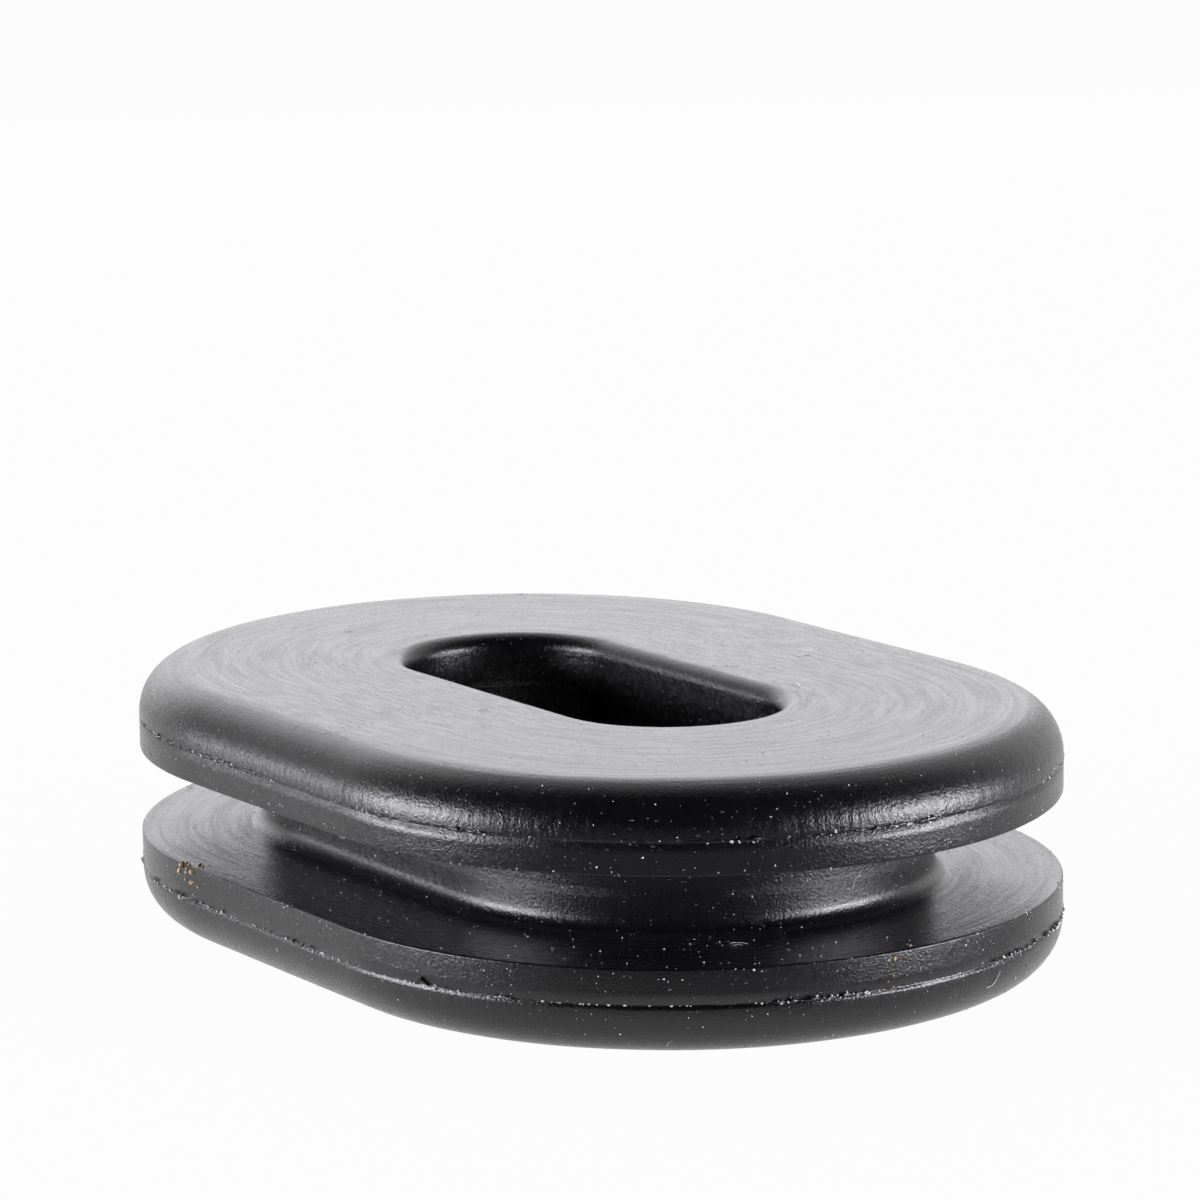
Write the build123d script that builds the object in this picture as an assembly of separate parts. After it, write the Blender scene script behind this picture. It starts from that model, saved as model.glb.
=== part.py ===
"""Oblong panel grommet, moulded in one piece from soft black rubber.

Two stadium-shaped flanges stand out from a neck, and the groove between them grips the edge of a
slotted panel. A through slot takes a flat peg. Millimetres, +Z up. The origin is the centre of the
bottom face, and the long axis lies along X.
"""

import os

from build123d import *

# Outline of both flanges, seen from above
OUTLINE_LENGTH = 32.0
OUTLINE_WIDTH = 23.0

# Thickness of each layer, from the bottom face up
BOTTOM_FLANGE = 2.65
PANEL_GROOVE = 2.6
TOP_FLANGE = 2.5

# Rim of each flange: an upright land beside the groove, then a rounding into the flat face
LOWER_LAND = 1.05
UPPER_LAND = 0.95
RIM_RADIUS = 1.45

# Neck at the bottom of the groove
NECK_LENGTH = 24.5
NECK_WIDTH = 15.3
NECK_FILLET = 0.5

# Through slot, with a rounded mouth on each face
SLOT_LENGTH = 15.1
SLOT_WIDTH = 6.6
MOUTH_RADIUS = 0.5

# Line of flash round each rim, where the halves of the mould met
FLASH_PROUD = 0.08
FLASH_THICKNESS = 0.12

# Most of the wall beside it that a fillet may take
FILLET_SHARE = 0.95

# Edges are picked by where they lie, to within this distance
PICK_TOLERANCE = 0.01

GROOVE_FLOOR = BOTTOM_FLANGE
GROOVE_ROOF = GROOVE_FLOOR + PANEL_GROOVE
TOP_FACE = GROOVE_ROOF + TOP_FLANGE
LOWER_PARTING = GROOVE_FLOOR - LOWER_LAND
UPPER_PARTING = GROOVE_ROOF + UPPER_LAND


def stadium_slab(length, width, low, high):
    """A slab with a stadium outline, from height low to height high."""
    return Pos(0, 0, low) * extrude(SlotOverall(length, width), high - low)


def ring_edges(body, height, length, width):
    """The edges at one height that lie on or inside a stadium outline of this size."""
    flat = body.edges().filter_by_position(Axis.Z, height - PICK_TOLERANCE, height + PICK_TOLERANCE)
    return flat.filter_by(
        lambda edge: abs((edge @ 0.5).X) < length / 2 + PICK_TOLERANCE
        and abs((edge @ 0.5).Y) < width / 2 + PICK_TOLERANCE
    )


def flange(groove_face, parting, outer_face):
    """One flange: rounded towards its outer face, with a line of flash where the rounding starts."""
    low, high = sorted((groove_face, outer_face))
    slab = stadium_slab(OUTLINE_LENGTH, OUTLINE_WIDTH, low, high)
    radius = min(RIM_RADIUS, abs(outer_face - parting) * FILLET_SHARE)
    slab = fillet(ring_edges(slab, outer_face, OUTLINE_LENGTH, OUTLINE_WIDTH), radius)
    flash = stadium_slab(
        OUTLINE_LENGTH + 2 * FLASH_PROUD,
        OUTLINE_WIDTH + 2 * FLASH_PROUD,
        parting - FLASH_THICKNESS / 2,
        parting + FLASH_THICKNESS / 2,
    )
    return slab + flash


def neck():
    """The plain neck between the flanges."""
    return stadium_slab(NECK_LENGTH, NECK_WIDTH, GROOVE_FLOOR, GROOVE_ROOF)


def fillet_neck_roots(body):
    """Rounds the corners where the neck meets the floor and the roof of the groove."""
    roots = ring_edges(body, GROOVE_FLOOR, NECK_LENGTH, NECK_WIDTH)
    roots += ring_edges(body, GROOVE_ROOF, NECK_LENGTH, NECK_WIDTH)
    return fillet(roots, min(NECK_FILLET, PANEL_GROOVE / 2 * FILLET_SHARE))


def cut_slot(body):
    """Cuts the through slot and rounds its two mouths."""
    body -= stadium_slab(SLOT_LENGTH, SLOT_WIDTH, 0, TOP_FACE)
    mouths = ring_edges(body, 0, SLOT_LENGTH, SLOT_WIDTH)
    mouths += ring_edges(body, TOP_FACE, SLOT_LENGTH, SLOT_WIDTH)
    return fillet(mouths, MOUTH_RADIUS)


def grommet():
    """The whole grommet, as one solid."""
    body = flange(GROOVE_FLOOR, LOWER_PARTING, 0)
    body += flange(GROOVE_ROOF, UPPER_PARTING, TOP_FACE)
    body += neck()
    return cut_slot(fillet_neck_roots(body))


def main():
    """Writes the one node."""
    os.makedirs("parts", exist_ok=True)
    export_step(grommet(), "parts/grommet.step")


main()
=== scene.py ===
"""Looks of the oblong rubber grommet: the moulded body, its flash, and the dust and lint on it.

Lengths in this script are millimetres, and a shape is turned to metres where its mesh is made.
"""

import math

import bmesh
import bpy
from mathutils import Matrix, Vector


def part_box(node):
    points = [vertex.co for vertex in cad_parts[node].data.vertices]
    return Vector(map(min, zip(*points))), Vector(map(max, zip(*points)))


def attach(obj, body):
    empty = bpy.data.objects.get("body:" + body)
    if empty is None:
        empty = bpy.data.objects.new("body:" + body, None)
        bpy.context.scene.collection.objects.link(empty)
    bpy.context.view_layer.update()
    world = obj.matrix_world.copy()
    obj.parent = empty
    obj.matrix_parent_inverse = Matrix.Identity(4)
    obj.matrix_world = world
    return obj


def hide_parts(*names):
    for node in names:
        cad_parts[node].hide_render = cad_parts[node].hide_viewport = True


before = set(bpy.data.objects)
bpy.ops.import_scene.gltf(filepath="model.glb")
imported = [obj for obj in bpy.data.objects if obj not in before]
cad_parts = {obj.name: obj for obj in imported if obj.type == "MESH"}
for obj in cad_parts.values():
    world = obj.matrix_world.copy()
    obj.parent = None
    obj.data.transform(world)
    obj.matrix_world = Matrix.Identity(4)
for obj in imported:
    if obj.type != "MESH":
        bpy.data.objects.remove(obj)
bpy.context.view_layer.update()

MM = 0.001

# The grommet's section. Offsets are measured from the long mid-plane, heights from the bottom face.
FLASH_PROUD = 0.08
BOX_LOW, BOX_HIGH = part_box("grommet")
RIM_LENGTH = (BOX_HIGH[0] - BOX_LOW[0]) / MM - 2 * FLASH_PROUD
RIM_HALF_WIDTH = (BOX_HIGH[1] - BOX_LOW[1]) / MM / 2 - FLASH_PROUD
TOP_FACE = (BOX_HIGH[2] - BOX_LOW[2]) / MM
GROOVE_FLOOR = 2.65
GROOVE_ROOF = 5.25
LOWER_PARTING = 1.6
UPPER_PARTING = 6.2
RIM_RADIUS = 1.45
LIP_RADIUS = 0.06
NECK_HALF_WIDTH = 7.65
NECK_STRAIGHT = 9.2
NECK_FILLET = 0.5
SLOT_HALF_WIDTH = 3.3
SLOT_STRAIGHT = 8.5
MOUTH_RADIUS = 0.5
RIM_STRAIGHT = RIM_LENGTH - 2 * RIM_HALF_WIDTH

# Where the mould halves met there is a fine crease, with flash standing out of it
CREASE_DEPTH = 0.05
CREASE_HALF_HEIGHT = 0.035

# Spacing of the body's mesh
SECTION_STEP = 0.3
ARC_STEP = math.radians(8)
RING_STEPS = 480

# The outline that the sections are carried round
OUTLINE_HALF_WIDTH = 3

# The fins: points round the rim, thickness, how far the flash reaches out, and how far inside the rim
# the root, the shoulder and the tip lie before that
FIN_STEPS = 1500
FIN_THICKNESS = 0.05
FIN_REACH = 0.13
FIN_ROOT = 0.14
FIN_SHOULDER = 0.04
FIN_TIP = 0.01

# Middle of the tear in the lower flash, of the tan dirt and its trace, and of where the pale crumbs,
# painted glints, are thickest
NICK = (7.86, -11.0, LOWER_PARTING)
CLAY_SPOT = (-4.4, -11.5, 2.4)
CLAY_TRACE_SPOT = (16, -0.2, 2.2)
RIGHT_END = (16, 0, 4)

# Heights between which each lip's edge carries pale crumbs, a painted highlight along the edge
LOWER_LIP = (2.58, 2.64)
UPPER_LIP = (5.26, 5.32)

# Camera: where it stands round the grommet's centre, and where it looks
CAMERA_AZIMUTH = 56.30
CAMERA_ELEVATION = 13.06
CAMERA_DISTANCE = 148.7
CAMERA_HEADING = -56.16
CAMERA_PITCH = -10.69
CAMERA_ROLL = -0.71
CAMERA_LENS = 146.1
SENSOR_WIDTH = 36

# The floor lies clear of the bottom face, which wavers a little. It shows this share of full white.
FLOOR_GAP = 0.04
FLOOR_REACH = 1000
FLOOR_WHITE = 0.97

# Daylight lamps are slightly cool
LAMP_COLOUR = (0.95, 0.94, 1.0)


# ---------------------------------------------------------------- small helpers


def linear(hex_colour):
    """An sRGB hex colour as a linear RGBA tuple."""
    channels = [int(hex_colour[i : i + 2], 16) / 255 for i in (1, 3, 5)]
    return tuple(c / 12.92 if c <= 0.04045 else ((c + 0.055) / 1.055) ** 2.4 for c in channels) + (1,)


def add(tree, kind, inputs=None, **settings):
    """Adds a node. Settings are its properties, and each input is given a value or a link."""
    made = tree.nodes.new(kind)
    for name, value in settings.items():
        setattr(made, name, value)
    for key, value in (inputs or {}).items():
        if isinstance(value, bpy.types.NodeSocket):
            tree.links.new(value, made.inputs[key])
        else:
            made.inputs[key].default_value = value
    return made


def mesh_object(name, points, edges=(), faces=()):
    """A mesh object at the origin, from points in millimetres."""
    mesh = bpy.data.meshes.new(name)
    mesh.from_pydata([Vector(point) * MM for point in points], edges, faces)
    made = bpy.data.objects.new(name, mesh)
    bpy.context.scene.collection.objects.link(made)
    return made


def new_tree(name, **sockets):
    """A geometry tree with named inputs. Returns it, its group input and its group output."""
    tree = bpy.data.node_groups.new(name, "GeometryNodeTree")
    tree.is_modifier = True
    tree.interface.new_socket("Geometry", in_out="INPUT", socket_type="NodeSocketGeometry")
    for label, kind in sockets.items():
        tree.interface.new_socket(label, in_out="INPUT", socket_type="NodeSocket" + kind)
    tree.interface.new_socket("Geometry", in_out="OUTPUT", socket_type="NodeSocketGeometry")
    start = add(tree, "NodeGroupInput")
    end = add(tree, "NodeGroupOutput")
    return tree, start.outputs, end.inputs["Geometry"]


def grow(piece, tree, **values):
    """Runs a geometry tree on a piece, and keeps the result as its plain mesh."""
    modifier = piece.modifiers.new(tree.name, "NODES")
    modifier.node_group = tree
    for item in tree.interface.items_tree:
        if item.in_out == "INPUT" and item.name in values:
            modifier[item.identifier] = values[item.name]
    depsgraph = bpy.context.evaluated_depsgraph_get()
    mesh = bpy.data.meshes.new_from_object(piece.evaluated_get(depsgraph), depsgraph=depsgraph)
    piece.modifiers.remove(modifier)
    piece.data = mesh
    return piece


# ---------------------------------------------------------------- the section and its path


def arc(centre, radius, start, end):
    """Points on an arc, angles in degrees, from start to end with both ends kept."""
    turn = math.radians(end - start)
    count = max(3, round(abs(turn) / ARC_STEP))
    angles = [math.radians(start) + turn * i / count for i in range(count + 1)]
    return [(centre[0] + radius * math.cos(a), centre[1] + radius * math.sin(a)) for a in angles]


def run(points, target):
    """Goes straight from the last point to the target in even steps, and adds them."""
    last = points[-1]
    count = max(1, round(math.dist(last, target) / SECTION_STEP))
    for i in range(1, count + 1):
        points.append(tuple(a + (b - a) * i / count for a, b in zip(last, target)))


def upper_half():
    """The section above the groove's middle, from the middle of the neck to the middle of the slot."""
    middle = (GROOVE_FLOOR + GROOVE_ROOF) / 2
    points = [(NECK_HALF_WIDTH, middle)]
    for bend in (
        arc((NECK_HALF_WIDTH + NECK_FILLET, GROOVE_ROOF - NECK_FILLET), NECK_FILLET, 180, 90),
        arc((RIM_HALF_WIDTH - LIP_RADIUS, GROOVE_ROOF + LIP_RADIUS), LIP_RADIUS, 270, 360),
        crease(UPPER_PARTING),
        arc((RIM_HALF_WIDTH - RIM_RADIUS, TOP_FACE - RIM_RADIUS), RIM_RADIUS, 0, 90),
        arc((SLOT_HALF_WIDTH + MOUTH_RADIUS, TOP_FACE - MOUTH_RADIUS), MOUTH_RADIUS, 90, 180),
        [(SLOT_HALF_WIDTH, middle)],
    ):
        run(points, bend[0])
        points += bend[1:]
    return points


def crease(height):
    """The small notch in a rim at the parting line, from below it to above it."""
    return [
        (RIM_HALF_WIDTH, height - CREASE_HALF_HEIGHT),
        (RIM_HALF_WIDTH - CREASE_DEPTH, height),
        (RIM_HALF_WIDTH, height + CREASE_HALF_HEIGHT),
    ]


def lower_half():
    """The section below the groove's middle, from the middle of the slot to the middle of the neck."""
    middle = (GROOVE_FLOOR + GROOVE_ROOF) / 2
    points = [(SLOT_HALF_WIDTH, middle)]
    for bend in (
        arc((SLOT_HALF_WIDTH + MOUTH_RADIUS, MOUTH_RADIUS), MOUTH_RADIUS, 180, 270),
        arc((RIM_HALF_WIDTH - RIM_RADIUS, RIM_RADIUS), RIM_RADIUS, 270, 360),
        crease(LOWER_PARTING),
        arc((RIM_HALF_WIDTH - LIP_RADIUS, GROOVE_FLOOR - LIP_RADIUS), LIP_RADIUS, 0, 90),
        arc((NECK_HALF_WIDTH + NECK_FILLET, GROOVE_FLOOR + NECK_FILLET), NECK_FILLET, 270, 180),
        [(NECK_HALF_WIDTH, middle)],
    ):
        run(points, bend[0])
        points += bend[1:]
    return points


def section():
    """The closed section, as points of offset and height."""
    return upper_half()[:-1] + lower_half()[:-1]


def straight_at(offset):
    """Length of the straight sides of the outline at this offset from the mid-plane."""
    stops = (
        (SLOT_HALF_WIDTH, SLOT_STRAIGHT),
        (NECK_HALF_WIDTH, NECK_STRAIGHT),
        (RIM_HALF_WIDTH, RIM_STRAIGHT),
    )
    for (near, a), (far, b) in zip(stops, stops[1:]):
        if offset <= far:
            share = max(0, (offset - near) / (far - near))
            return a + (b - a) * share
    return RIM_STRAIGHT


def stadium_point(offset, straight, share):
    """The point this share of the way round a stadium outline."""
    side, end = straight, math.pi * offset
    lap = share * 2 * (side + end)
    half, flip = (lap, 1) if lap < side + end else (lap - side - end, -1)
    if half < end:
        angle = half / offset - math.pi / 2
        return flip * (straight / 2 + offset * math.cos(angle)), flip * offset * math.sin(angle)
    return flip * (straight / 2 - (half - end)), flip * offset


def two_loops(name, section, steps, edges=()):
    """One mesh of two closed loops: the outline to follow, and the section to carry round it.

    The section's points carry their distance along it, half of what their straight adds to the
    outline's, and a mark on the edge points, which the tree frets.
    """
    outline, ring = [], []
    ring_radius = (RIM_STRAIGHT + math.pi * RIM_HALF_WIDTH) / math.pi
    for i in range(steps):
        x, y = stadium_point(OUTLINE_HALF_WIDTH, RIM_STRAIGHT, i / steps)
        outline.append((x, y, 0))
        lap = 2 * math.pi * i / steps
        ring += (ring_radius * math.cos(lap), ring_radius * math.sin(lap), 0)
    across = [0]
    for before, after in zip(section, section[1:]):
        across.append(across[-1] + math.dist(before, after))
    loop = list(zip(section, across, [i in edges for i in range(len(section))]))[::-1]
    points = outline + [(offset - OUTLINE_HALF_WIDTH, -up, 0) for (offset, up), _, _ in loop]
    lines = [(i, (i + 1) % steps) for i in range(steps)]
    lines += [(steps + i, steps + (i + 1) % len(loop)) for i in range(len(loop))]
    piece = mesh_object(name, points, edges=lines)
    blank = [0] * steps
    values = {
        "in_section": blank + [1] * len(loop),
        "section_across": blank + [distance for _, distance, _ in loop],
        "section_widen": blank + [(straight_at(at[0]) - RIM_STRAIGHT) / 2 * MM for at, _, _ in loop],
        "section_edge": blank + [float(marked) for _, _, marked in loop],
    }
    for label, numbers in values.items():
        piece.data.attributes.new(label, "FLOAT", "POINT").data.foreach_set("value", numbers)
    ring += [0] * (3 * len(loop))
    piece.data.attributes.new("outline_ring", "FLOAT_VECTOR", "POINT").data.foreach_set("vector", ring)
    return piece


def carry_tree():
    """Carries the section round the outline, wavers its surface and frets its marked edges in patches."""
    tree, start, end = new_tree(
        "carry_round_outline",
        Half_Straight="Float",
        Waver="Float",
        Waver_Scale="Float",
        Edge_Rest="Float",
        Edge_Reach="Float",
        Edge_Wander="Float",
        Patch_Scale="Float",
        Tear_Scale="Float",
        Seed="Float",
        Material="Material",
    )
    named = {
        label: add(
            tree, "GeometryNodeInputNamedAttribute", {"Name": label}, data_type=kind
        ).outputs["Attribute"]
        for label, kind in (
            ("in_section", "FLOAT"),
            ("section_across", "FLOAT"),
            ("section_widen", "FLOAT"),
            ("section_edge", "FLOAT"),
            ("outline_ring", "FLOAT_VECTOR"),
        )
    }
    loops = []
    for test, others in (("LESS_THAN", "section_*"), ("GREATER_THAN", "outline_*")):
        chosen = add(
            tree, "FunctionNodeCompare", {0: named["in_section"], 1: 0.5}, data_type="FLOAT", operation=test
        )
        curve = add(
            tree, "GeometryNodeMeshToCurve", {
                "Mesh": start["Geometry"], "Selection": chosen.outputs["Result"]
            }
        )
        kept = {"Geometry": curve.outputs["Curve"], "Name": others}
        loops.append(
            add(tree, "GeometryNodeRemoveAttribute", kept, pattern_mode="WILDCARD").outputs["Geometry"]
        )
    upright = add(tree, "GeometryNodeSetCurveNormal", {"Curve": loops[0]}, mode="Z_UP")
    swept = add(
        tree, "GeometryNodeCurveToMesh", {"Curve": upright.outputs["Curve"], "Profile Curve": loops[1]}
    )

    place = add(tree, "GeometryNodeInputPosition").outputs["Position"]
    normal = add(tree, "GeometryNodeInputNormal").outputs["Normal"]
    x = add(tree, "ShaderNodeSeparateXYZ", {0: place}).outputs["X"]
    behind = add(tree, "ShaderNodeMath", {0: start["Half_Straight"], 1: -1}, operation="MULTIPLY")
    side = add(
        tree,
        "ShaderNodeMapRange",
        {
            "Value": x, "From Min": behind.outputs[0], "From Max": start["Half_Straight"], "To Min": -1,
            "To Max": 1
        },
    )
    shift = add(
        tree, "ShaderNodeMath", {0: side.outputs["Result"], 1: named["section_widen"]}, operation="MULTIPLY"
    )
    along_x = add(tree, "ShaderNodeCombineXYZ", {"X": shift.outputs[0]})
    stretched = add(
        tree, "GeometryNodeSetPosition", {
            "Geometry": swept.outputs["Mesh"], "Offset": along_x.outputs["Vector"]
        }
    )

    noises = {}
    for label, detail in (("Waver_Scale", 1), ("Patch_Scale", 2), ("Tear_Scale", 3)):
        noise = add(
            tree,
            "ShaderNodeTexNoise",
            {"Vector": place, "W": start["Seed"], "Scale": start[label], "Detail": detail},
            noise_dimensions="4D",
        )
        noises[label] = noise.outputs["Fac"]
    patch = add(
        tree, "ShaderNodeMapRange", {"Value": noises["Patch_Scale"], "From Min": 0.42, "From Max": 0.6}
    )
    tear = add(
        tree, "ShaderNodeMapRange", {"Value": noises["Tear_Scale"], "From Min": 0.3, "From Max": 0.7}
    )
    torn = add(
        tree, "ShaderNodeMath", {0: patch.outputs["Result"], 1: tear.outputs["Result"]},
        operation="MULTIPLY"
    )
    fret = add(
        tree,
        "ShaderNodeMath",
        {0: torn.outputs[0], 1: start["Edge_Reach"], 2: start["Edge_Rest"]},
        operation="MULTIPLY_ADD",
    )
    edge = add(tree, "ShaderNodeMath", {0: fret.outputs[0], 1: named["section_edge"]}, operation="MULTIPLY")
    sway = add(tree, "ShaderNodeMath", {0: noises["Waver_Scale"], 1: 0.5}, operation="SUBTRACT")
    out_by = add(
        tree,
        "ShaderNodeMath",
        {0: sway.outputs[0], 1: start["Waver"], 2: edge.outputs[0]},
        operation="MULTIPLY_ADD",
    )
    outward = add(tree, "ShaderNodeVectorMath", {0: normal, "Scale": out_by.outputs[0]}, operation="SCALE")
    lift = add(tree, "ShaderNodeMath", {0: noises["Tear_Scale"], 1: 0.5}, operation="SUBTRACT")
    lifted = add(
        tree, "ShaderNodeMath", {0: lift.outputs[0], 1: start["Edge_Wander"]}, operation="MULTIPLY"
    )
    marked = add(
        tree, "ShaderNodeMath", {0: lifted.outputs[0], 1: named["section_edge"]}, operation="MULTIPLY"
    )
    up = add(tree, "ShaderNodeCombineXYZ", {"Z": marked.outputs[0]})
    move = add(
        tree, "ShaderNodeVectorMath", {
            0: outward.outputs["Vector"], 1: up.outputs["Vector"]
        }, operation="ADD"
    )
    fretted = add(
        tree,
        "GeometryNodeSetPosition",
        {"Geometry": stretched.outputs["Geometry"], "Offset": move.outputs["Vector"]},
    )

    across = add(tree, "ShaderNodeCombineXYZ", {"Z": named["section_across"]})
    wrap = add(
        tree, "ShaderNodeVectorMath", {
            0: named["outline_ring"], 1: across.outputs["Vector"]
        }, operation="ADD"
    )
    mapped = add(
        tree,
        "GeometryNodeStoreNamedAttribute",
        {"Geometry": fretted.outputs["Geometry"], "Name": "wrap", "Value": wrap.outputs["Vector"]},
        data_type="FLOAT_VECTOR",
        domain="POINT",
    )
    smooth = add(tree, "GeometryNodeSetShadeSmooth", {"Geometry": mapped.outputs["Geometry"]})
    finish_tree(tree, smooth.outputs["Geometry"], start["Material"], end)
    return tree


def finish_tree(tree, geometry, material, end):
    """Ends a tree in plain geometry with its material."""
    plain = add(tree, "GeometryNodeRealizeInstances", {"Geometry": geometry})
    dressed = add(
        tree, "GeometryNodeSetMaterial", {"Geometry": plain.outputs["Geometry"], "Material": material}
    )
    tree.links.new(dressed.outputs["Geometry"], end)


def moulded_body(tree, rubber):
    """The one-piece grommet, with a crease at each parting line that opens here and there."""
    outline = section()
    creases = [
        i for i, (offset, _) in enumerate(outline) if abs(offset - RIM_HALF_WIDTH + CREASE_DEPTH) < 1e-6
    ]
    piece = two_loops("moulded_body", outline, RING_STEPS, edges=creases)
    return grow(
        piece,
        tree,
        Half_Straight=RIM_STRAIGHT / 2 * MM,
        Waver=0.03 * MM,
        Waver_Scale=1 / (4 * MM),
        Edge_Rest=0.02 * MM,
        Edge_Reach=-0.11 * MM,
        Edge_Wander=0.03 * MM,
        Patch_Scale=1 / (6 * MM),
        Tear_Scale=1 / (0.4 * MM),
        Seed=4.0,
        Material=rubber,
    )


def flash_fin(tree, name, height, seed, rubber):
    """The thin torn fin that a parting line leaves, mostly trimmed back to the rim."""
    root, half = RIM_HALF_WIDTH - FIN_ROOT, FIN_THICKNESS / 2
    outline = [
        (root, height - half),
        (RIM_HALF_WIDTH - FIN_SHOULDER, height - half),
        (RIM_HALF_WIDTH - FIN_TIP, height),
        (RIM_HALF_WIDTH - FIN_SHOULDER, height + half),
        (root, height + half),
    ]
    piece = two_loops(name, outline, FIN_STEPS, edges=(1, 2, 3))
    return grow(
        piece,
        tree,
        Half_Straight=RIM_STRAIGHT / 2 * MM,
        Waver=0.0,
        Waver_Scale=1 / (4 * MM),
        Edge_Rest=-0.02 * MM,
        Edge_Reach=FIN_REACH * MM,
        Edge_Wander=0.09 * MM,
        Patch_Scale=1 / (3.5 * MM),
        Tear_Scale=1 / (0.22 * MM),
        Seed=seed,
        Material=rubber,
    )


def torn_nick(rubber):
    """A small lifted tear over the lower parting line: a ridge like an upturned V."""
    out = Vector((NICK[0] - RIM_STRAIGHT / 2, NICK[1], 0)).normalized()
    along = Vector((-out.y, out.x, 0))
    outer = ((-0.36, -0.03, -0.03), (-0.02, 0.27, -0.03), (0.33, -0.01, -0.03))
    ridge = ((-0.29, -0.02, 0.03), (0.0, 0.19, 0.08), (0.27, 0.0, 0.03))
    inner = ((-0.2, -0.03, -0.03), (0.02, 0.11, -0.03), (0.18, -0.01, -0.03))
    points = [Vector(NICK) + along * a + Vector((0, 0, u)) + out * o for a, u, o in outer + ridge + inner]
    faces = [
        (0, 3, 4, 1), (1, 4, 5, 2), (3, 6, 7, 4), (4, 7, 8, 5), (0, 6, 3), (2, 5, 8), (0, 1, 7, 6),
        (1, 2, 8, 7)
    ]
    piece = mesh_object("torn_nick", points, faces=faces)
    shell = bmesh.new()
    shell.from_mesh(piece.data)
    bmesh.ops.recalc_face_normals(shell, faces=shell.faces)
    shell.to_mesh(piece.data)
    shell.free()
    piece.data.materials.append(rubber)
    return piece


# ---------------------------------------------------------------- dust, crumbs, lint and dirt


def speck_shape(tree):
    """A rough crumb, one unit in radius."""
    return add(tree, "GeometryNodeMeshIcoSphere", {"Radius": 1, "Subdivisions": 1}).outputs["Mesh"]


def fibre_shape(tree):
    """A bent hair, about one unit long."""
    bend = {
        "Resolution": 7, "Start": (-0.5, 0, 0.01), "Middle": (0.1, 0.45, 0.05), "End": (0.45, -0.12, 0.02)
    }
    hair = add(tree, "GeometryNodeCurveQuadraticBezier", bend)
    thin = add(tree, "GeometryNodeCurvePrimitiveCircle", {"Resolution": 4, "Radius": 0.014})
    tube = add(
        tree,
        "GeometryNodeCurveToMesh",
        {"Curve": hair.outputs["Curve"], "Profile Curve": thin.outputs["Curve"], "Fill Caps": True},
    )
    return tube.outputs["Mesh"]


def scatter_tree(name, shape, tilt, slimmest):
    """Scatters small shapes over a surface, denser near a centre and in patches."""
    tree, start, end = new_tree(
        name,
        Density="Float",
        Size="Float",
        Centre="Vector",
        Reach="Float",
        Low="Float",
        High="Float",
        Patch_Scale="Float",
        Seed="Int",
        Material="Material",
    )
    place = add(tree, "GeometryNodeInputPosition").outputs["Position"]
    z = add(tree, "ShaderNodeSeparateXYZ", {0: place}).outputs["Z"]
    above = add(
        tree, "FunctionNodeCompare", {0: z, 1: start["Low"]}, data_type="FLOAT", operation="GREATER_THAN"
    )
    below = add(
        tree, "FunctionNodeCompare", {0: z, 1: start["High"]}, data_type="FLOAT", operation="LESS_THAN"
    )
    band = add(
        tree, "FunctionNodeBooleanMath", {0: above.outputs["Result"], 1: below.outputs["Result"]},
        operation="AND"
    )
    gap = add(tree, "ShaderNodeVectorMath", {0: place, 1: start["Centre"]}, operation="DISTANCE")
    near = add(
        tree,
        "ShaderNodeMapRange",
        {"Value": gap.outputs["Value"], "From Max": start["Reach"], "To Min": 1, "To Max": 0},
    )
    noise = add(tree, "ShaderNodeTexNoise", {"Vector": place, "Scale": start["Patch_Scale"], "Detail": 2})
    patch = add(
        tree,
        "ShaderNodeMapRange",
        {"Value": noise.outputs["Fac"], "From Min": 0.4, "From Max": 0.62, "To Min": 0.25},
    )
    share = add(
        tree, "ShaderNodeMath", {0: near.outputs["Result"], 1: patch.outputs["Result"]},
        operation="MULTIPLY"
    )
    density = add(tree, "ShaderNodeMath", {0: share.outputs[0], 1: start["Density"]}, operation="MULTIPLY")
    points = add(
        tree,
        "GeometryNodeDistributePointsOnFaces",
        {
            "Mesh": start["Geometry"],
            "Selection": band.outputs["Boolean"],
            "Density": density.outputs[0],
            "Seed": start["Seed"],
        },
    )
    spin = add(
        tree,
        "FunctionNodeRandomValue",
        {"Min": (-tilt, -tilt, 0), "Max": (tilt, tilt, 2 * math.pi), "Seed": start["Seed"]},
        data_type="FLOAT_VECTOR",
    )
    euler = add(tree, "FunctionNodeEulerToRotation", {"Euler": spin.outputs["Value"]})
    turned = add(
        tree,
        "FunctionNodeRotateRotation",
        {"Rotation": points.outputs["Rotation"], "Rotate By": euler.outputs["Rotation"]},
        rotation_space="LOCAL",
    )
    build = add(
        tree,
        "FunctionNodeRandomValue",
        {"Min": (slimmest, slimmest, slimmest), "Max": (1, 1, 1), "Seed": 11},
        data_type="FLOAT_VECTOR",
    )
    chance = add(tree, "FunctionNodeRandomValue", {2: 0.45, 3: 1.0, "Seed": 23}, data_type="FLOAT")
    small = add(tree, "ShaderNodeMath", {0: chance.outputs[1], 1: 1.6}, operation="POWER")
    size = add(tree, "ShaderNodeMath", {0: small.outputs[0], 1: start["Size"]}, operation="MULTIPLY")
    scale = add(
        tree, "ShaderNodeVectorMath", {0: build.outputs["Value"], "Scale": size.outputs[0]},
        operation="SCALE"
    )
    placed = add(
        tree,
        "GeometryNodeInstanceOnPoints",
        {
            "Points": points.outputs["Points"],
            "Instance": shape(tree),
            "Rotation": turned.outputs["Rotation"],
            "Scale": scale.outputs["Vector"],
        },
    )
    finish_tree(tree, placed.outputs["Instances"], start["Material"], end)
    return tree


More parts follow.
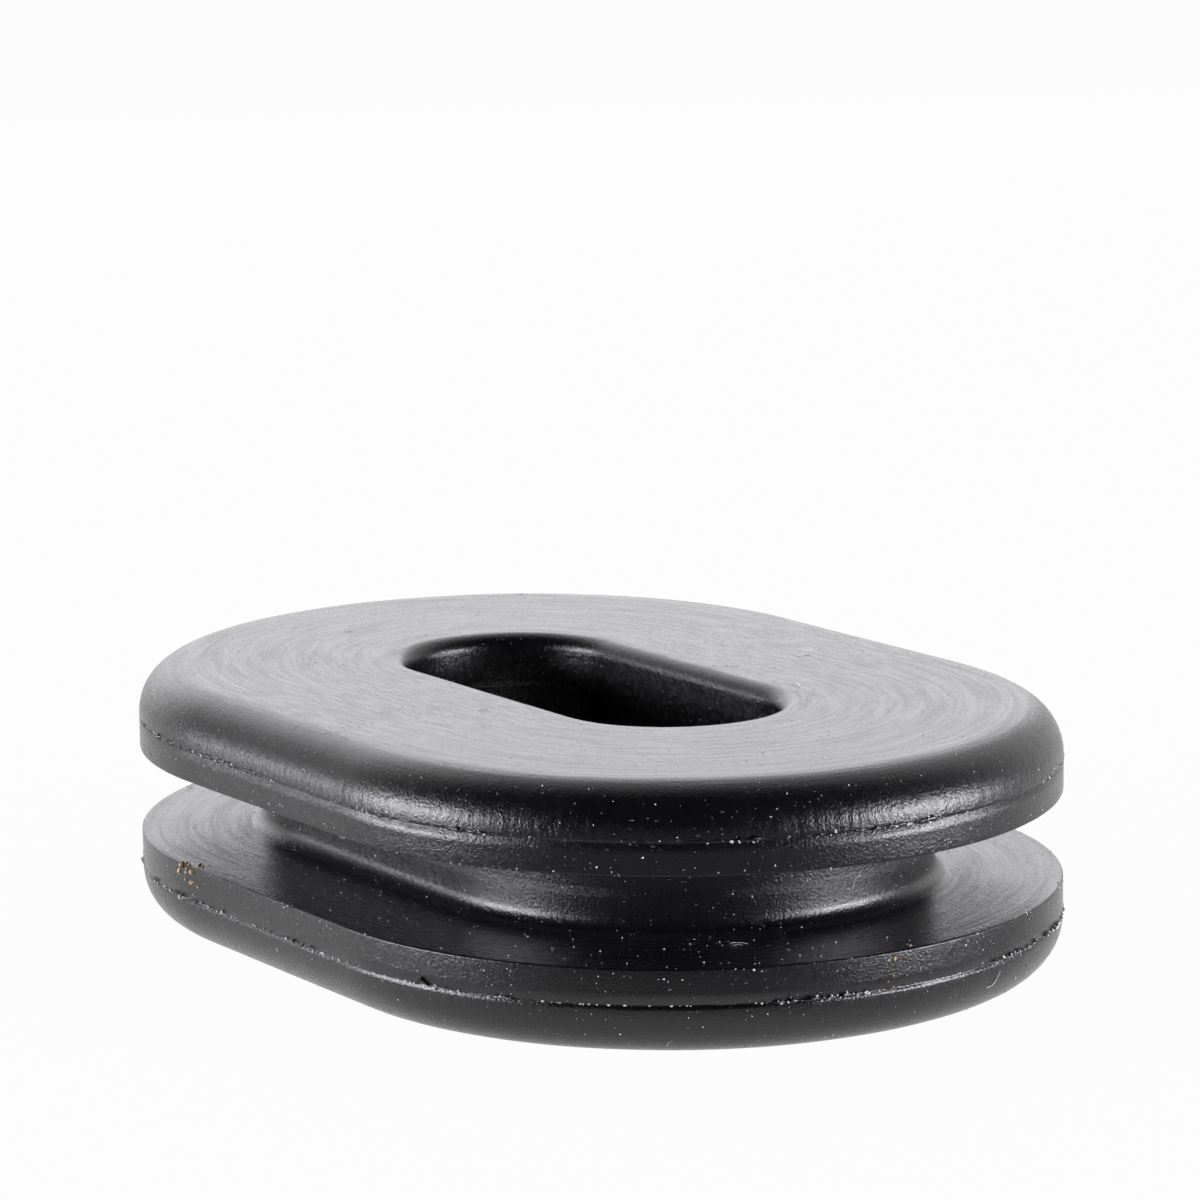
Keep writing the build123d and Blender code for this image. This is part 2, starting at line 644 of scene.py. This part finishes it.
def scatter(
    name, surface, tree, material, density, size, centre=(0, 0, 0), reach=1000, low=-1, high=10, patch=5,
    seed=1
):
    """One piece of scattered shapes on a surface. Density is per square millimetre."""
    piece = bpy.data.objects.new(name, surface.data.copy())
    bpy.context.scene.collection.objects.link(piece)
    return grow(
        piece,
        tree,
        Density=density / MM**2,
        Size=size * MM,
        Centre=tuple(c * MM for c in centre),
        Reach=reach * MM,
        Low=low * MM,
        High=high * MM,
        Patch_Scale=1 / (patch * MM),
        Seed=seed,
        Material=material,
    )


# ---------------------------------------------------------------- materials


def new_material(name):
    """An empty material, and its node tree."""
    material = bpy.data.materials.new(name)
    material.use_nodes = True
    material.node_tree.nodes.clear()
    return material, material.node_tree


def moulded_rubber():
    """Carbon-black rubber, compression moulded.

    It is a deep grey-black with a satin face. The mould's turning marks run round the flat faces,
    drag lines from ejection stand across the rims, and pits and pale bloom break up the gloss.
    Faces that look up are lighter along the turning marks, part talc and part painted sheen.
    """
    material, tree = new_material("carbon_black_rubber_moulded")
    place = add(tree, "ShaderNodeTexCoord").outputs["Object"]
    wrap = add(tree, "ShaderNodeAttribute", attribute_name="wrap").outputs["Vector"]
    height = add(tree, "ShaderNodeSeparateXYZ", {0: place}).outputs["Z"]
    facing = add(tree, "ShaderNodeSeparateXYZ", {0: add(tree, "ShaderNodeNewGeometry").outputs["Normal"]})
    level = add(
        tree, "ShaderNodeMapRange", {"Value": facing.outputs["Z"], "From Min": 0.75, "From Max": 0.98}
    )

    # Grain of two sizes, 0.08 mm and 0.25 mm, drawn a little coarser than a spark-eroded mould leaves
    grain = add(
        tree, "ShaderNodeTexNoise",
        {"Vector": place, "Scale": 1 / (0.08 * MM), "Detail": 3, "Roughness": 0.6}
    )
    lumps = add(
        tree, "ShaderNodeTexNoise",
        {"Vector": place, "Scale": 1 / (0.25 * MM), "Detail": 3, "Roughness": 0.6}
    )

    # Turning marks, 0.2 mm apart and some 2.5 mm long, that follow the outline round the flat faces
    ringwise = add(tree, "ShaderNodeVectorMath", {0: wrap, 1: (0.4, 0.4, 5)}, operation="MULTIPLY")
    turning = add(
        tree, "ShaderNodeTexNoise", {"Vector": ringwise.outputs["Vector"], "Scale": 1, "Detail": 4}
    )
    marks = add(
        tree, "ShaderNodeMath", {0: turning.outputs["Fac"], 1: level.outputs["Result"]},
        operation="MULTIPLY"
    )

    # Drag lines, 0.14 mm apart and 0.7 mm long, up the rims and strongest just over the upper parting
    crosswise = add(tree, "ShaderNodeVectorMath", {0: wrap, 1: (7, 7, 1.4)}, operation="MULTIPLY")
    drag = add(tree, "ShaderNodeTexNoise", {"Vector": crosswise.outputs["Vector"], "Scale": 1, "Detail": 2})
    over = add(
        tree,
        "ShaderNodeMapRange",
        {
            "Value": height, "From Min": (UPPER_PARTING + 0.85) * MM,
            "From Max": (UPPER_PARTING + 0.45) * MM, "To Min": 0.12
        },
    )
    under = add(
        tree,
        "ShaderNodeMapRange",
        {
            "Value": height, "From Min": (UPPER_PARTING - 0.1) * MM,
            "From Max": (UPPER_PARTING + 0.05) * MM, "To Min": 0.15
        },
    )
    banded = add(
        tree, "ShaderNodeMath", {0: over.outputs["Result"], 1: under.outputs["Result"]},
        operation="MULTIPLY"
    )
    lines = add(
        tree, "ShaderNodeMath", {0: drag.outputs["Fac"], 1: banded.outputs[0]}, operation="MULTIPLY"
    )

    # Pits about 0.07 mm wide, where bubbles touched the mould, in about a quarter of the cells
    cells = add(tree, "ShaderNodeTexVoronoi", {"Vector": place, "Scale": 1 / (0.22 * MM)})
    hole = add(
        tree, "ShaderNodeMapRange",
        {"Value": cells.outputs["Distance"], "From Min": 0.1, "From Max": 0.2, "To Min": 1, "To Max": 0}
    )
    pick = add(tree, "ShaderNodeSeparateColor", {"Color": cells.outputs["Color"]})
    some = add(tree, "ShaderNodeMath", {0: pick.outputs["Red"], 1: 0.72}, operation="GREATER_THAN")
    pits = add(
        tree, "ShaderNodeMath", {0: hole.outputs["Result"], 1: some.outputs[0]}, operation="MULTIPLY"
    )

    # Dust too fine to be modelled, as pale points about 0.04 mm wide
    motes = add(tree, "ShaderNodeTexVoronoi", {"Vector": place, "Scale": 1 / (0.16 * MM)})
    mote = add(
        tree, "ShaderNodeMapRange",
        {"Value": motes.outputs["Distance"], "From Min": 0.1, "From Max": 0.18, "To Min": 1, "To Max": 0}
    )
    draw = add(tree, "ShaderNodeSeparateColor", {"Color": motes.outputs["Color"]})
    few = add(
        tree, "ShaderNodeMapRange", {"Value": draw.outputs["Green"], "From Min": 0.78, "From Max": 1.0}
    )
    dust = add(
        tree, "ShaderNodeMath", {0: mote.outputs["Result"], 1: few.outputs["Result"]}, operation="MULTIPLY"
    )

    # Bloom: wax and talc that dull the surface in soft patches. Faces that look up are lighter along the
    # turning marks, part talc and part a painted sheen of light on the top face.
    clouds = add(
        tree, "ShaderNodeTexNoise",
        {"Vector": place, "Scale": 1 / (3.5 * MM), "Detail": 5, "Roughness": 0.6}
    )
    cloud = add(
        tree, "ShaderNodeMapRange", {"Value": clouds.outputs["Fac"], "From Min": 0.4, "From Max": 0.7}
    )
    talc_and_painted_sheen = add(
        tree, "ShaderNodeMath", {0: level.outputs["Result"], 1: turning.outputs["Fac"]},
        operation="MULTIPLY"
    )
    bloom_and_painted_sheen = add(
        tree,
        "ShaderNodeMath",
        {0: cloud.outputs["Result"], 1: 0.15, 2: talc_and_painted_sheen.outputs[0]},
        operation="MULTIPLY_ADD",
        use_clamp=True,
    )
    # The colour: near black, lighter with the bloom and with the painted sheen on faces that look up
    dulled_and_painted_sheen = add(
        tree,
        "ShaderNodeMix",
        {0: bloom_and_painted_sheen.outputs[0], 6: linear("#09080B"), 7: linear("#242328")},
        data_type="RGBA",
    )
    colour = add(
        tree, "ShaderNodeMix", {0: dust.outputs[0], 6: dulled_and_painted_sheen.outputs[2], 7: linear("#8C8A90")},
        data_type="RGBA"
    )
    worn = add(
        tree, "ShaderNodeMix", {
            0: level.outputs["Result"], 2: lumps.outputs["Fac"], 3: turning.outputs["Fac"]
        }, data_type="FLOAT"
    )
    gloss = add(
        tree,
        "ShaderNodeMapRange",
        {"Value": worn.outputs[0], "From Min": 0.3, "From Max": 0.7, "To Min": 0.2, "To Max": 0.31},
    )

    sanded = add(
        tree, "ShaderNodeMapRange", {"Value": level.outputs["Result"], "To Min": 1.5, "To Max": 1.0}
    )
    relief = add(
        tree, "ShaderNodeMath", {0: grain.outputs["Fac"], 1: sanded.outputs["Result"]}, operation="MULTIPLY"
    )
    for part, weight in (
        (lumps.outputs["Fac"], 0.2),
        (marks.outputs[0], 1.5),
        (lines.outputs[0], 2.2),
        (pits.outputs[0], -1.5),
    ):
        layered = {0: part, 1: weight, 2: relief.outputs[0]}
        relief = add(tree, "ShaderNodeMath", layered, operation="MULTIPLY_ADD")
    bump = add(tree, "ShaderNodeBump", {"Height": relief.outputs[0], "Distance": 0.012 * MM, "Strength": 1})
    surface = add(
        tree,
        "ShaderNodeBsdfPrincipled",
        {
            "Base Color": colour.outputs[2],
            "Roughness": gloss.outputs["Result"],
            "IOR": 1.52,
            "Normal": bump.outputs["Normal"],
        },
    )
    add(tree, "ShaderNodeOutputMaterial", {"Surface": surface.outputs["BSDF"]})
    return material


def loose_matter(name, hex_colour):
    """Dry matter that lies on the rubber: matt, and one colour all through."""
    material, tree = new_material(name)
    surface = add(
        tree, "ShaderNodeBsdfPrincipled", {"Base Color": linear(hex_colour), "Roughness": 0.85, "IOR": 1.5}
    )
    add(tree, "ShaderNodeOutputMaterial", {"Surface": surface.outputs["BSDF"]})
    return material


# ---------------------------------------------------------------- stage, lights and camera


def camera():
    """The camera, standing off the grommet's centre and turned a little away from it."""
    azimuth, elevation = math.radians(CAMERA_AZIMUTH), math.radians(CAMERA_ELEVATION)
    away = Vector(
        (
            math.sin(azimuth) * math.cos(elevation),
            -math.cos(azimuth) * math.cos(elevation),
            math.sin(elevation),
        )
    )
    data = bpy.data.cameras.new("camera")
    data.lens = CAMERA_LENS
    data.sensor_width = SENSOR_WIDTH
    data.clip_start = 0.01
    data.clip_end = 10
    made = bpy.data.objects.new("camera", data)
    turn = (
        Matrix.Rotation(-math.radians(CAMERA_HEADING), 4, "Z")
        @ Matrix.Rotation(math.radians(90 + CAMERA_PITCH), 4, "X")
        @ Matrix.Rotation(math.radians(CAMERA_ROLL), 4, "Z")
    )
    centre = Vector((0, 0, TOP_FACE / 2))
    made.matrix_world = Matrix.Translation((centre + away * CAMERA_DISTANCE) * MM) @ turn
    bpy.context.scene.collection.objects.link(made)
    bpy.context.scene.camera = made


def view_frame():
    """Level directions to the right and to the back, as the camera faces the grommet."""
    azimuth = math.radians(CAMERA_AZIMUTH)
    right = Vector((math.cos(azimuth), math.sin(azimuth), 0))
    back = Vector((-math.sin(azimuth), math.cos(azimuth), 0))
    return right, back


def softbox(name, bearing, distance, width, low, high, radiance):
    """An upright soft lamp. Its bearing in degrees is 0 at the camera and 90 to the right."""
    right, back = view_frame()
    turn = math.radians(bearing)
    spot = (right * math.sin(turn) - back * math.cos(turn)) * distance
    spot.z = (low + high) / 2
    data = bpy.data.lights.new(name, "AREA")
    data.shape = "RECTANGLE"
    data.color = LAMP_COLOUR
    data.size = width * MM
    data.size_y = (high - low) * MM
    data.energy = radiance * math.pi * data.size * data.size_y
    made = bpy.data.objects.new(name, data)
    facing = Vector((-spot.x, -spot.y, 0)).to_track_quat("-Z", "Y").to_matrix().to_4x4()
    made.matrix_world = Matrix.Translation(spot * MM) @ facing
    bpy.context.scene.collection.objects.link(made)


def studio():
    """A white sweep: the world behind, a pale floor, and a softbox on each side."""
    white_world()
    reach, level = FLOOR_REACH, -FLOOR_GAP
    corners = [
        (-reach, -reach, level), (reach, -reach, level), (reach, reach, level), (-reach, reach, level)
    ]
    floor = mesh_object("floor", corners, faces=[(0, 1, 2, 3)])
    floor.data.materials.append(floor_material())
    softbox("left_softbox", bearing=-80, distance=300, width=210, low=2, high=85, radiance=22)
    softbox("right_softbox", bearing=73, distance=300, width=180, low=2, high=75, radiance=30)
    softbox("back_softbox", bearing=-170, distance=300, width=320, low=20, high=260, radiance=1.1)


def white_world():
    """The world: a white sweep behind the grommet, and a dim room on the camera's side of it."""
    world = bpy.data.worlds.new("white_studio")
    world.use_nodes = True
    bpy.context.scene.world = world
    tree = world.node_tree
    tree.nodes.clear()
    rays = add(tree, "ShaderNodeLightPath")
    toward = add(tree, "ShaderNodeTexCoord").outputs["Generated"]
    facing = add(tree, "ShaderNodeVectorMath", {0: toward, 1: view_frame()[1]}, operation="DOT_PRODUCT")
    sweep = add(
        tree,
        "ShaderNodeMapRange",
        {"Value": facing.outputs["Value"], "From Min": 0.0, "From Max": 0.7, "To Min": 0.02, "To Max": 1.0},
        interpolation_type="SMOOTHSTEP",
    )
    straight = add(
        tree, "ShaderNodeMath", {
            0: rays.outputs["Is Camera Ray"], 1: rays.outputs["Is Transmission Ray"]
        }, operation="MAXIMUM"
    )
    level = add(
        tree, "ShaderNodeMath", {0: straight.outputs[0], 1: sweep.outputs["Result"]}, operation="MAXIMUM"
    )
    white = add(tree, "ShaderNodeBackground", {"Color": (1, 1, 1, 1), "Strength": level.outputs[0]})
    add(tree, "ShaderNodeOutputWorld", {"Surface": white.outputs[0]})


def floor_material():
    """White paper: shown at full white with a little of its shade kept.

    Reflections show it too, round the grommet and behind it, and the dim room in front.
    """
    material, tree = new_material("white_paper")
    rays = add(tree, "ShaderNodeLightPath")
    place = add(tree, "ShaderNodeTexCoord").outputs["Object"]
    gap = add(tree, "ShaderNodeVectorMath", {0: place}, operation="LENGTH")
    near = add(
        tree,
        "ShaderNodeMapRange",
        {"Value": gap.outputs["Value"], "From Min": 17 * MM, "From Max": 22 * MM, "To Min": 1, "To Max": 0},
    )
    depth = add(tree, "ShaderNodeVectorMath", {0: place, 1: view_frame()[1]}, operation="DOT_PRODUCT")
    behind = add(
        tree, "ShaderNodeMapRange", {
            "Value": depth.outputs["Value"], "From Min": -16 * MM, "From Max": 4 * MM
        }
    )
    mirrored = add(
        tree, "ShaderNodeMath", {
            0: near.outputs["Result"], 1: behind.outputs["Result"]
        }, operation="MAXIMUM"
    )
    glossy = add(
        tree, "ShaderNodeMath", {
            0: rays.outputs["Is Glossy Ray"], 1: mirrored.outputs[0]
        }, operation="MULTIPLY"
    )
    seen = add(
        tree, "ShaderNodeMath", {0: rays.outputs["Is Camera Ray"], 1: glossy.outputs[0]}, operation="ADD"
    )
    shown = add(
        tree, "ShaderNodeMath", {0: seen.outputs[0], 1: rays.outputs["Is Transmission Ray"]},
        operation="ADD"
    )
    share = add(
        tree, "ShaderNodeMath", {0: shown.outputs[0], 1: FLOOR_WHITE}, operation="MULTIPLY", use_clamp=True
    )
    paper = add(tree, "ShaderNodeBsdfDiffuse", {"Color": (0.5, 0.5, 0.5, 1)})
    white = add(tree, "ShaderNodeEmission", {"Color": (1, 1, 1, 1), "Strength": 1})
    mix = add(tree, "ShaderNodeMixShader", {0: share.outputs[0], 1: paper.outputs[0], 2: white.outputs[0]})
    add(tree, "ShaderNodeOutputMaterial", {"Surface": mix.outputs[0]})
    return material


# ---------------------------------------------------------------- assembly


def main():
    scene = bpy.context.scene
    scene.view_settings.view_transform = "Standard"
    camera()
    studio()
    rubber = moulded_rubber()
    dust = loose_matter("settled_household_dust", "#EEECE9")
    # Pale crumbs: small specks coloured near white as a painted glint, the light that torn flash and sharp
    # lip edges catch
    glint_crumb = loose_matter("pale_crumb_painted_glint", "#E4E2E6")
    cotton = loose_matter("cotton_lint", "#EDEAE6")
    clay = loose_matter("dried_clay_dirt", "#E3BD90")

    carry = carry_tree()
    body = moulded_body(carry, rubber)
    lower_fin = flash_fin(carry, "lower_flash", LOWER_PARTING, 7.0, rubber)
    upper_fin = flash_fin(carry, "upper_flash", UPPER_PARTING + 0.04, 2.0, rubber)
    specks = scatter_tree("scatter_specks", speck_shape, tilt=0.5, slimmest=0.4)
    hairs = scatter_tree("scatter_hairs", fibre_shape, tilt=0.12, slimmest=1.0)
    pieces = [
        body,
        lower_fin,
        upper_fin,
        torn_nick(rubber),
        scatter("settled_dust", body, specks, dust, density=1.9, size=0.038, low=0.1, seed=3),
        # Pale crumbs on the flash and round the tear: painted glints of the torn edges, thickest towards
        # the right end
        scatter(
            "lower_flash_glint_crumbs", lower_fin, specks, glint_crumb, density=60, size=0.085, patch=1.6, seed=5,
            centre=RIGHT_END, reach=45
        ),
        scatter(
            "upper_flash_glint_crumbs", upper_fin, specks, glint_crumb, density=45, size=0.07, patch=2.2, seed=8,
            centre=RIGHT_END, reach=36
        ),
        scatter(
            "nick_glint_crumbs", lower_fin, specks, glint_crumb, density=500, size=0.06, centre=NICK, reach=1.1,
            patch=0.4, seed=12
        ),
        # Pale crumbs in thin bands on the lips' edges: a painted highlight along each edge
        scatter(
            "lower_lip_glint_crumbs", body, specks, glint_crumb, density=14, size=0.05, low=LOWER_LIP[0],
            high=LOWER_LIP[1], patch=2, seed=9
        ),
        scatter(
            "upper_lip_glint_crumbs", body, specks, glint_crumb, density=14, size=0.05, low=UPPER_LIP[0],
            high=UPPER_LIP[1], patch=2, seed=10
        ),
        scatter("cotton_lint", body, hairs, cotton, density=0.045, size=0.8, low=0.1, seed=6),
        scatter(
            "clay_dirt", body, specks, clay, density=40, size=0.15, centre=CLAY_SPOT, reach=0.7, patch=0.5,
            seed=2
        ),
        scatter(
            "clay_trace", body, specks, clay, density=30, size=0.08, centre=CLAY_TRACE_SPOT, reach=0.7,
            patch=0.5, seed=4
        ),
    ]
    for piece in pieces:
        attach(piece, "root")
    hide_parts("grommet")


main()
